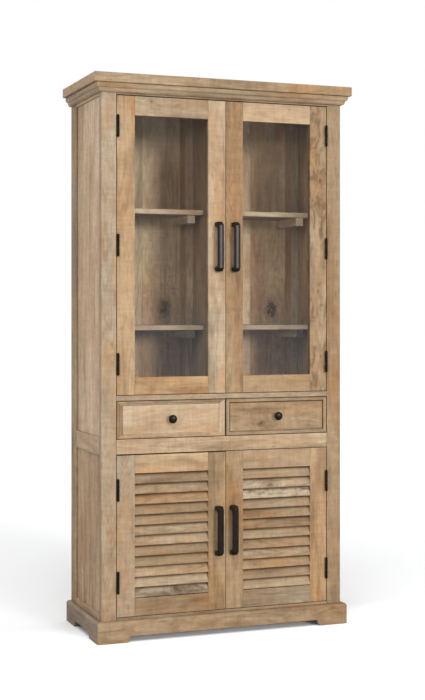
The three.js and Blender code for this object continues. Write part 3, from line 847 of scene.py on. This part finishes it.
def build_drawer_front(side):
    """A flat border that steps down to a sunk panel, mitred at its corners."""
    name = f"{side}_drawer_front"
    lo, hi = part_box(name)
    if side == "left":
        hi.x += SPREAD_DRAWER
    else:
        lo.x -= SPREAD_DRAWER
    wide, tall, steps, painted_shade = BORDERS[side]
    loops = [
        (
            lo.x + share * wide * MM, hi.x - share * wide * MM,
            lo.z + share * tall * MM, hi.z - share * tall * MM, lo.y + deep * MM,
        )
        for share, deep in (BACK_STEP, *steps)
    ]
    # The border's sides have boards of their own, whose tones carry painted light and shade.
    parts = (("bottom", X), ("right", Z), ("top", X), ("left", Z), ("panel", X))
    front = Joinery()
    front.loft(loops, [board(f"{name}_{part}", run) for part, run in parts], painted_shade)
    front.finish(name + "_panelled", f"{side}_drawer", name, 0.35 * MM)


# ---------------------------------------------------------------- ironwork
def metal_piece(name, bm, body, node=None, edge=0.0):
    """A black piece, which stands for a CAD node if one is named. With no edge, its edges stay as made."""
    piece = new_piece(name, bm, BLACK)
    if edge:
        soften(piece, edge)
    else:
        piece.data.polygons.foreach_set("use_smooth", [True] * len(piece.data.polygons))
        piece.data.set_sharp_from_angle(angle=math.radians(40))
    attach(piece, body)
    if node:
        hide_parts(node)
    return piece


def turn(bm, profile, base, axis, side_axis, steps):
    """Turns a profile of (radius, height) about an axis; both its ends close on the axis."""
    other = axis.cross(side_axis)
    rings = []
    for radius, height in profile:
        if radius == 0:
            rings.append([bm.verts.new(base + axis * height)])
            continue
        ring = []
        for i in range(steps):
            angle = 2 * math.pi * i / steps
            spoke = side_axis * math.cos(angle) + other * math.sin(angle)
            ring.append(bm.verts.new(base + axis * height + spoke * radius))
        rings.append(ring)
    for one, two in zip(rings, rings[1:]):
        for i in range(steps):
            j = (i + 1) % steps
            corners = [one[i % len(one)], one[j % len(one)], two[j % len(two)], two[i % len(two)]]
            bm.faces.new(list(dict.fromkeys(corners)))


def slab(bm, lo, hi):
    """A box from its lowest to its highest corner."""
    size = [hi[i] - lo[i] for i in range(3)]
    middle = [(hi[i] + lo[i]) / 2 for i in range(3)]
    bmesh.ops.create_cube(bm, size=1.0, matrix=Matrix.Translation(middle) @ Matrix.Diagonal((*size, 1)))


# A pull's bar from front to back, the height of its legs, the chamfer of its bends, and how much less of the
# leg is left inside the bend.
PULL_BAR, PULL_LEG, PULL_BEND, PULL_INSET = 5 * MM, 16 * MM, 12 * MM, 1 * MM
# How far its feet are sunk into the door.
PULL_SUNK = 0.3 * MM
# How wide the facets along its two sides are, and how far they fall away.
PULL_SIDE, PULL_FALL = 6.2 * MM, 2.6 * MM


def build_pull(name, body):
    """A bar bent back to the door at both ends. Its outer face falls away to each side, in a flat facet.
    The outlines are in distances out from its feet and up from its middle."""
    lo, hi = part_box(name)
    foot = hi.y + SET_BACK + PULL_SUNK
    reach, half = foot - lo.y, (hi.z - lo.z) / 2
    inside = half - PULL_LEG
    inner = [(0, inside), (reach - PULL_BEND - PULL_INSET, inside)]
    inner.append((reach - PULL_BAR, inside - (PULL_BEND - PULL_BAR + PULL_INSET)))
    bm = bmesh.new()
    rings = []
    for x, fall in ((lo.x, PULL_FALL), (lo.x + PULL_SIDE, 0), (hi.x - PULL_SIDE, 0), (hi.x, PULL_FALL)):
        out, end = reach - fall, half - fall
        bend = PULL_BEND - fall * (2 - math.sqrt(2))
        outer = [(0, end), (out - bend, end), (out, end - bend)]
        outline = outer + [(y, -z) for y, z in reversed(outer)]
        outline += [(y, -z) for y, z in inner] + list(reversed(inner))
        rings.append([bm.verts.new((x, foot - y, (lo.z + hi.z) / 2 + z)) for y, z in outline])
    count = len(rings[0])
    for one, two in zip(rings, rings[1:]):
        for i in range(count):
            j = (i + 1) % count
            bm.faces.new((one[i], one[j], two[j], two[i]))
    bm.faces.new(rings[0][::-1])
    bm.faces.new(rings[-1])
    return metal_piece(name + "_bar", bm, body, name, 0.7 * MM)


# The knob's profile, each point (radius, distance from the drawer), in millimetres.
KNOB_FOOT = [(0, 0), (9, 0), (9, 1.2), (8.4, 2.3), (6.6, 3.4)]
KNOB_NECK = [(5.6, 5.2), (5.5, 9), (6.2, 11.5)]
KNOB_HEAD = [
    (8.6, 13.2), (12.4, 14.2), (14.6, 15.4), (15.5, 17.2), (15.2, 19.4), (13.6, 21.6), (10.4, 23.6),
    (6.0, 24.6), (3.2, 24.9), (0, 25),
]


def build_knob(side):
    """A turned knob: a foot, a neck and a domed head with a small flat."""
    name = f"{side}_drawer_knob"
    lo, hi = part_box(name)
    base = Vector(((lo.x + hi.x) / 2, hi.y, (lo.z + hi.z) / 2))
    bm = bmesh.new()
    turn(bm, [(r * MM, h * MM) for r, h in KNOB_FOOT + KNOB_NECK + KNOB_HEAD], base, -Y, X, 40)
    return metal_piece(name + "_turned", bm, f"{side}_drawer", name)


KNUCKLES, KNUCKLE_GAP, KNUCKLE_RADIUS, KNUCKLE_RIM = 5, 0.4 * MM, 4.7 * MM, 0.8 * MM
PIN_RADIUS, PIN_TIP = 3.4 * MM, 2.2 * MM
# The profile of the pin's tip, in shares of its radius and height.
TIP = [(0, -0.95), (0.6, -0.9), (0.95, -0.5), (1, 0), (1, 0.4), (0, 0.4)]
# How far the pin's middle is from the front and the inner side of the box of the hinge's CAD solid.
PIN_INSET = 6 * MM
# How thick the leaves are, how far back they reach, and how far each is from the middle of the cabinet.
LEAF_THICKNESS, LEAF_BACK = 0.9 * MM, 20 * MM
LEAVES = {"door": 406.65 * MM, "post": 407.95 * MM}


def knuckle(bm, x, y, low, high):
    """One barrel of a hinge, with rounded rims."""
    rim, radius = KNUCKLE_RIM, KNUCKLE_RADIUS
    half = [(0, low), (radius - rim, low), (radius - rim * 0.3, low + rim * 0.3), (radius, low + rim)]
    profile = half + [(r, high + low - h) for r, h in reversed(half)]
    turn(bm, profile, Vector((x, y, 0)), Z, X, 24)


def build_hinge(name, door_body, side):
    """A butt hinge: five knuckles on a pin, a leaf on the door's edge and a leaf on the post."""
    lo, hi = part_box(name)
    way = -1 if side == "left" else 1
    x = lo.x + PIN_INSET if way > 0 else hi.x - PIN_INSET
    y = lo.y + PIN_INSET
    low, high = lo.z + PIN_TIP, hi.z - PIN_TIP
    step = (high - low) / KNUCKLES
    parts = {"door": bmesh.new(), "post": bmesh.new()}
    for i in range(KNUCKLES):
        part = parts["door" if i % 2 == 0 else "post"]
        knuckle(part, x, y, low + step * i + KNUCKLE_GAP / 2, low + step * (i + 1) - KNUCKLE_GAP / 2)
    for height, up in ((low, 1), (high, -1)):
        profile = [(r * PIN_RADIUS, h * PIN_TIP * up) for r, h in TIP]
        turn(parts["door"], profile, Vector((x, y, height)), Z, X, 20)
    for place, inner in LEAVES.items():
        ends = sorted((way * inner, way * (inner + LEAF_THICKNESS)))
        slab(parts[place], (ends[0], y, low), (ends[1], FRONT + LEAF_BACK, high))
    metal_piece(name + "_door_leaf", parts["door"], door_body, name)
    metal_piece(name + "_post_leaf", parts["post"], "carcass")


# The list has the knobs and the pulls, and not the hinges.
ironwork = []
for side in SIDES:
    build_drawer_front(side)
    ironwork.append(build_knob(side))
    for level, places in (("upper", ("top", "middle", "bottom")), ("lower", ("top", "bottom"))):
        ironwork.append(build_pull(f"{level}_{side}_pull", f"{level}_{side}_door"))
        for place in places:
            build_hinge(f"{level}_{side}_hinge_{place}", f"{level}_{side}_door", side)


# ---------------------------------------------------------------- studio
FLOOR_REACH, FLOOR_GAP = 40, 0.5 * MM
WHITE = (1.0, 1.0, 1.0, 1)


def new_lamp(name, kind, power, away):
    """A lamp that shines from a direction."""
    lamp = bpy.data.lights.new(name, kind)
    lamp.energy = power
    piece = bpy.data.objects.new(name, lamp)
    piece.rotation_mode = "QUATERNION"
    piece.rotation_quaternion = away.to_track_quat("Z", "Y")
    bpy.context.collection.objects.link(piece)
    return piece


def sun(name, azimuth, elevation, strength, angle):
    """A soft far light. Azimuth 0 is straight in front of the cabinet, and grows to its right."""
    a, e = math.radians(azimuth), math.radians(elevation)
    away = Vector((math.sin(a) * math.cos(e), -math.cos(a) * math.cos(e), math.sin(e)))
    piece = new_lamp(name, "SUN", strength, away)
    piece.data.angle = math.radians(angle)
    piece.visible_glossy = False


def lamp_on(pieces, name, kind, place, target, power):
    """A lamp at a place, which shines towards the target and falls on these pieces only."""
    piece = new_lamp(name, kind, power, Vector(place) - Vector(target))
    piece.location = place
    lit = bpy.data.collections.new(name + "_pieces")
    for other in pieces:
        lit.objects.link(other)
    piece.light_linking.receiver_collection = lit
    return piece.data


def panel_on(pieces, name, place, target, power, size):
    """A soft rectangular panel that falls on these pieces only."""
    lamp = lamp_on(pieces, name, "AREA", place, target, power)
    lamp.shape = "RECTANGLE"
    lamp.size, lamp.size_y = size


def build_surround():
    """A white surround, greyer below the floor."""
    world = bpy.data.worlds.new("studio")
    bpy.context.scene.world = world
    world.use_nodes = True
    n = Nodes(world.node_tree)
    direction = n.new("ShaderNodeTexCoord").outputs["Generated"]
    height = n.new("ShaderNodeSeparateXYZ", {"Vector": direction}).outputs["Z"]
    colour = n.mix(n.spread(height, -0.2, -0.1), (0.25, 0.25, 0.25, 1), WHITE)
    background = n.new("ShaderNodeBackground", {"Color": colour, "Strength": 1.0})
    n.new("ShaderNodeOutputWorld", {"Surface": background.outputs[0]})


def build_floor():
    """A plain floor, paler in front of the cabinet than behind it. The paler floor in front is painted light,
    which lightens the shade under the plinth.
    """
    material, n = blank("studio_floor")
    point = n.new("ShaderNodeTexCoord").outputs["Object"]
    grain = n.noise(point, 40.0, 2.0)
    depth = n.new("ShaderNodeSeparateXYZ", {"Vector": point}).outputs["Y"]
    # Painted light: the floor under and in front of the cabinet is paler, to lighten the shade there.
    behind = n.spread(depth, -0.15, 0.15)
    near_tone = n.mix(grain, (0.83, 0.84, 0.855, 1), (0.85, 0.86, 0.875, 1))
    far_tone = n.mix(grain, (0.615, 0.62, 0.625, 1), (0.635, 0.64, 0.645, 1))
    colour = n.mix(behind, near_tone, far_tone)
    n.surface(n.new("ShaderNodeBsdfPrincipled", {"Base Color": colour, "Roughness": 0.9}))
    bm = bmesh.new()
    bmesh.ops.create_grid(bm, x_segments=8, y_segments=8, size=FLOOR_REACH)
    floor = new_piece("studio_floor", bm, material)
    floor.location.z = -FLOOR_GAP
    floor.visible_glossy = False


sun("key_light", azimuth=13, elevation=11.5, strength=3.15, angle=16)
sun("top_light", azimuth=-22, elevation=52, strength=1.72, angle=35)
sun("fill_light", azimuth=-55, elevation=25, strength=0.6, angle=50)

# A soft panel in front of the upper pulls, for the sheen along their bars.
panel_on(ironwork, "sheen_panel", (1.5, -4.0, 1.75), (0, -0.2, 1.4), power=150, size=(1.2, 0.8))

# A low panel for the front edges of the glazed shelves.
shelves = [frame["nodes"][f"{level}_{side}_shelf"] for level in ("high", "low") for side in SIDES]
panel_on(shelves, "shelf_panel", (-0.8, -2.4, 1.25), (0.05, -0.15, 1.28), power=100, size=(0.5, 0.3))

# A spot for the tops of the glazed bays.
inside_nodes = ("back_panel", "upper_partition", "rear_right_post", "upper_right_side_panel")
insides = [frame["nodes"][name] for name in inside_nodes]
spot = lamp_on(insides, "bay_spot", "SPOT", (-0.95, -2.4, 2.0), (0.12, 0.2, 1.72), power=54)
spot.spot_size = math.radians(24)
spot.spot_blend = 1.0
spot.shadow_soft_size = 0.15

build_surround()
build_floor()

scene = bpy.context.scene
scene.view_settings.view_transform = "Standard"
scene.view_settings.look = "None"
